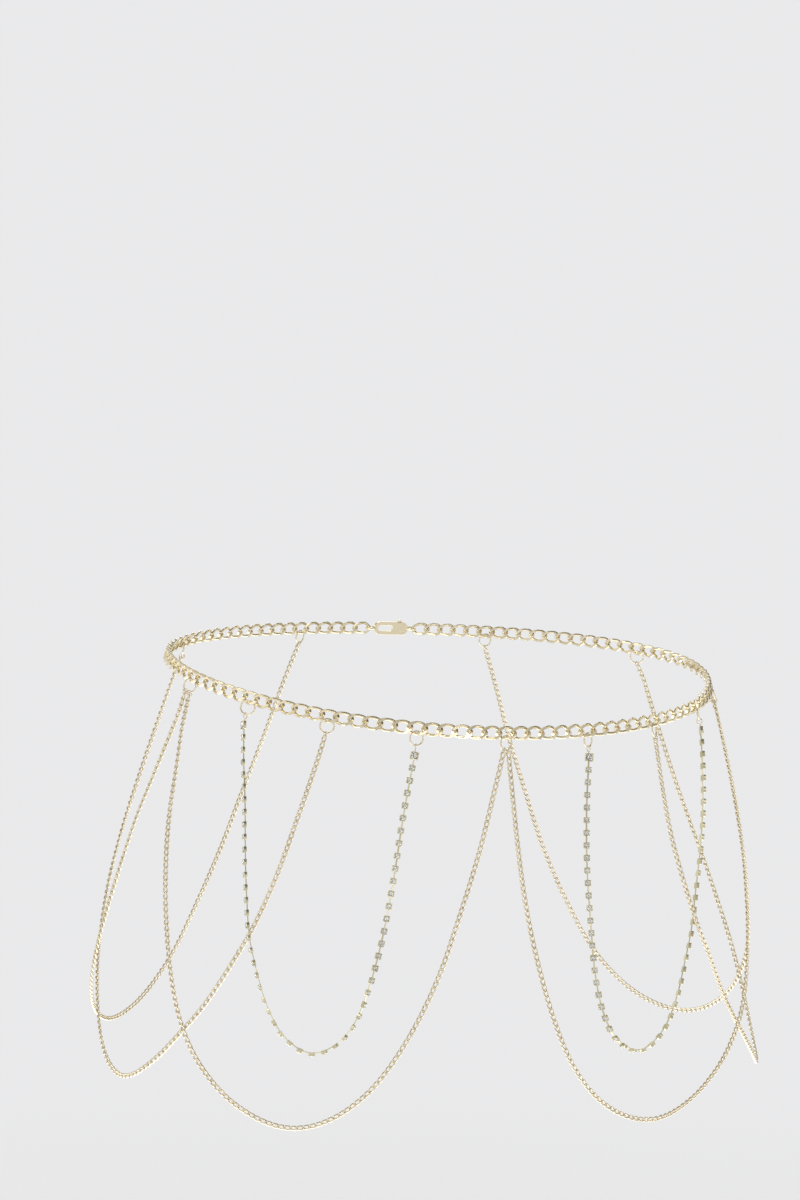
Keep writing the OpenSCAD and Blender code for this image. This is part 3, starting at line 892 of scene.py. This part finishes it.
def stadium(name, length, width, thick, x):
    # a block whose upright edges are rounded by nearly half its width, so that its ends are half circles
    block = boxAdd(name, beltGold, (length, width, thick), (x, 0, 0))
    startEdit(block)
    choose(block, "EDGE", lambda e: rise(e) > 0.5 * thick * mm)
    bpy.ops.mesh.bevel(offset=clasp["roundShare"] * width * mm, segments=clasp["endSteps"], affect="EDGES")
    endEdit()
    return block


def claspBodyPiece():
    # the body, with a slot cut through it and its edges rounded
    share = clasp["slotShare"]
    body = stadium("claspBody", bodyLength, clasp["width"], clasp["thick"], 0)
    slotBlock = stadium("claspSlot", share * bodyLength, share * clasp["width"], 3 * clasp["thick"],
                        bodyLength / 6)
    opening = body.modifiers.new("slot", "BOOLEAN")
    opening.object = slotBlock
    opening.operation = "DIFFERENCE"
    opening.solver = "EXACT"
    edges = body.modifiers.new("edges", "BEVEL")
    edges.width = clasp["edge"] * mm
    edges.segments = 3
    edges.limit_method = "ANGLE"
    applyModifiers(body)
    tidyAway(slotBlock)
    return body


def thumbPiece():
    # a short round block on the body's edge, with a flat rim inset in both ends
    bpy.ops.object.select_all(action="DESELECT")
    bpy.ops.mesh.primitive_cylinder_add(vertices=clasp["thumbSides"], radius=clasp["width"] / 6 * mm,
                                        depth=clasp["thick"] / 2 * mm,
                                        location=(-bodyLength / 4 * mm, clasp["width"] / 2 * mm, 0))
    thumb = bpy.context.object
    fixPlace(thumb)
    thumb.data.materials.append(beltGold)
    startEdit(thumb)
    choose(thumb, "FACE", lambda f: abs(f.normal.z) > 0.9)
    bpy.ops.mesh.inset(thickness=clasp["thumbRim"] * mm)
    endEdit()
    return thumb


def claspPiece():
    parts = [claspBodyPiece(), thumbPiece()]
    for side in (-1, 1):
        eye = wireRing("claspEye", beltGold, eyeRadius, clasp["eyeWire"],
                       clasp["eyeSides"], clasp["eyeSteps"])
        upright = Matrix.Rotation(math.pi / 2, 4, "X")
        eye.data.transform(Matrix.Translation((side * eyeX * mm, 0, 0)) @ upright)
        parts.append(eye)
    piece = joinAs("clasp.body", parts)
    # it bridges the gap at the back, as deep and as high as the belt is at its eyes
    angle = 180 - math.degrees(math.asin(2 * eyeX / form["beltWidth"]))
    point = formPoint(angle, 0, 0)
    x = Vector((-1, 0, 0))
    back = halfSums[-1] / pitch
    piece.data.transform(placed(Vector((0, point.y, point.z)), x, x.cross(-downAt(back)).normalized()))
    pick(piece)
    bpy.ops.object.shade_smooth_by_angle(angle=math.radians(35))
    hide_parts("clasp")
    return piece


claspBody = claspPiece()
print("clasp done")


# what each piece rides on

def finishPieces(slot, *pieces):
    for piece in pieces:
        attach(piece, "root")


finishPieces("gold", beltLeft, beltRight, claspBody, *rings)
finishPieces("fine_gold", *fineStrands)
finishPieces("cup_gold", stoneLeft, stoneRight)
finishPieces("crystal", crystalsLeft, crystalsRight)
print("pieces ride on the part's body")


# floor, light and camera, in metres

# a row of the tent is a height and the brightness there; its blue is tentBlue of that
studio = {
    "floor": -0.34, "floorSize": 60, "floorPale": (0.80, 0.80, 0.80), "floorCool": (0.84, 0.84, 0.845),
    "floorGlow": (0.98, 0.985, 1), "glowStrength": 0.29, "fadeFrom": 0.3, "fadeTo": 0.9,
    "horizon": (0.82, 0.82, 0.83), "brightness": 1.1, "dimBehindCamera": 0.5, "leftWindow": 0.9,
    "tent": [(0.0, 0.70), (0.10, 0.88), (0.26, 1.05), (0.36, 0.30), (0.60, 0.09), (0.80, 0.16),
             (0.95, 0.50)],
    "tentBlue": 0.97,
}


def addFloor():
    # a pale floor that fades into the horizon's own tone
    bpy.ops.object.select_all(action="DESELECT")
    bpy.ops.mesh.primitive_plane_add(size=studio["floorSize"], location=(0, 0, studio["floor"]))
    floor = bpy.context.object
    floor.name = "studioFloor"
    fixPlace(floor)
    material, finish = newMaterial("paleFloor")
    place = finish.objectPlace()
    grain = finish.noise(place, scale=3, detail=3)
    distance = finish.node("VectorMath", {"operation": "LENGTH"}, {0: place}, "Value")
    far = finish.node("MapRange", {"interpolation_type": "SMOOTHSTEP"}, {
        "Value": distance, "From Min": studio["fadeFrom"], "From Max": studio["fadeTo"]})
    near = finish.node("BsdfPrincipled", {}, {
        "Base Color": finish.blend(grain, studio["floorPale"], studio["floorCool"]), "Roughness": 0.75,
        "Emission Color": studio["floorGlow"], "Emission Strength": studio["glowStrength"]})
    glow = finish.node("Emission", {}, {"Color": studio["horizon"], "Strength": 1.0})
    finish.surface(finish.node("MixShader", {}, {0: far, 1: near, 2: glow}))
    floor.data.materials.append(material)


def addWorld():
    # what the camera sees is plain and pale; what the metal mirrors is a white tent with a dark top,
    # dimmer behind the camera and with a window on the left
    world = bpy.data.worlds.new("studioWorld")
    finish = Finish(world)
    direction = finish.node("TexCoord", {}, {})
    across = finish.node("SeparateXYZ", {}, {"Vector": direction}, "X")
    ahead = finish.node("SeparateXYZ", {}, {"Vector": direction}, "Y")
    height = finish.node("SeparateXYZ", {}, {"Vector": direction}, "Z")
    stops = [(place, (v, v, v * studio["tentBlue"])) for place, v in studio["tent"]]
    tent = finish.node("ValToRGB", {"stops": stops}, {"Fac": height})
    dim = studio["brightness"] - studio["dimBehindCamera"] * (0.0 - ahead).atLeast(0.0)
    window = studio["leftWindow"] * (0.0 - across).atLeast(0.0) * height.atLeast(0.0)
    lit = finish.blend(1.0, finish.blend(1.0, tent, dim, "MULTIPLY"), window, "ADD")
    seen = finish.node("LightPath", {}, {})       # one where the camera looks straight at the world
    colour = finish.blend(seen, lit, studio["horizon"])
    back = finish.node("Background", {}, {"Color": colour, "Strength": 1.0})
    finish.node("OutputWorld", {}, {"Surface": back})
    bpy.context.scene.world = world


# places and sizes in metres, power in watts
softboxes = {
    "keySoftbox": {"at": (-1.6, -1.9, 1.7), "towards": (0, 0, -0.05), "size": (1.2, 1.2), "power": 14},
    "fillSoftbox": {"at": (1.9, -1.5, 1.1), "towards": (0, 0, -0.05), "size": (1.4, 1.0), "power": 7,
                    "colour": (1, 0.98, 0.95)},
    "lowSoftbox": {"at": (-0.9, -2.4, -0.18), "towards": (0, 0, -0.1), "size": (2.2, 0.22), "power": 4},
    "floorSoftbox": {"at": (0, 0.02, -0.33), "towards": (0, 0.02, 0), "size": (0.9, 0.3), "power": 1.6},
    "backSoftbox": {"at": (0.4, 2.2, 1.5), "towards": (0, 0, -0.05), "size": (1.6, 1.0), "power": 8},
}


def addSoftbox(name, look):
    bpy.ops.object.light_add(type="AREA", location=look["at"])
    lamp = bpy.context.object
    lamp.name = name
    lamp.data.shape = "RECTANGLE"
    lamp.data.size, lamp.data.size_y = look["size"]
    lamp.data.energy = look["power"]
    lamp.data.color = look.get("colour", (1, 1, 1))
    lamp.visible_camera = False
    line = Vector(look["towards"]) - Vector(look["at"])
    lamp.rotation_euler = line.to_track_quat("-Z", "Y").to_euler()


# fitted to the photograph; roll is in degrees
photoCamera = {
    "at": (-0.4408, -1.5271, 0.0578), "towards": (-0.0202, 0.0158, 0.0384), "roll": 1.48, "lens": 93.99,
    "clipEnd": 200,
}


def addCamera():
    location = Vector(photoCamera["at"])
    roll = photoCamera["roll"]
    forward = (Vector(photoCamera["towards"]) - location).normalized()
    right = forward.cross(Vector((0, 0, 1))).normalized()
    up = right.cross(forward)
    rightRolled = right * cosOf(roll) + up * sinOf(roll)
    upRolled = up * cosOf(roll) - right * sinOf(roll)
    bpy.ops.object.camera_add(location=location)
    camera = bpy.context.object
    camera.name = "photoCamera"
    camera.data.lens = photoCamera["lens"]
    camera.data.clip_end = photoCamera["clipEnd"]
    turn = Matrix((rightRolled, upRolled, -forward)).transposed().to_4x4()
    turn.translation = location
    camera.matrix_world = turn
    bpy.context.scene.camera = camera


addFloor()
addWorld()
for name, look in softboxes.items():
    addSoftbox(name, look)
addCamera()
bpy.context.scene.view_settings.view_transform = "Standard"
print("floor, light and camera done")
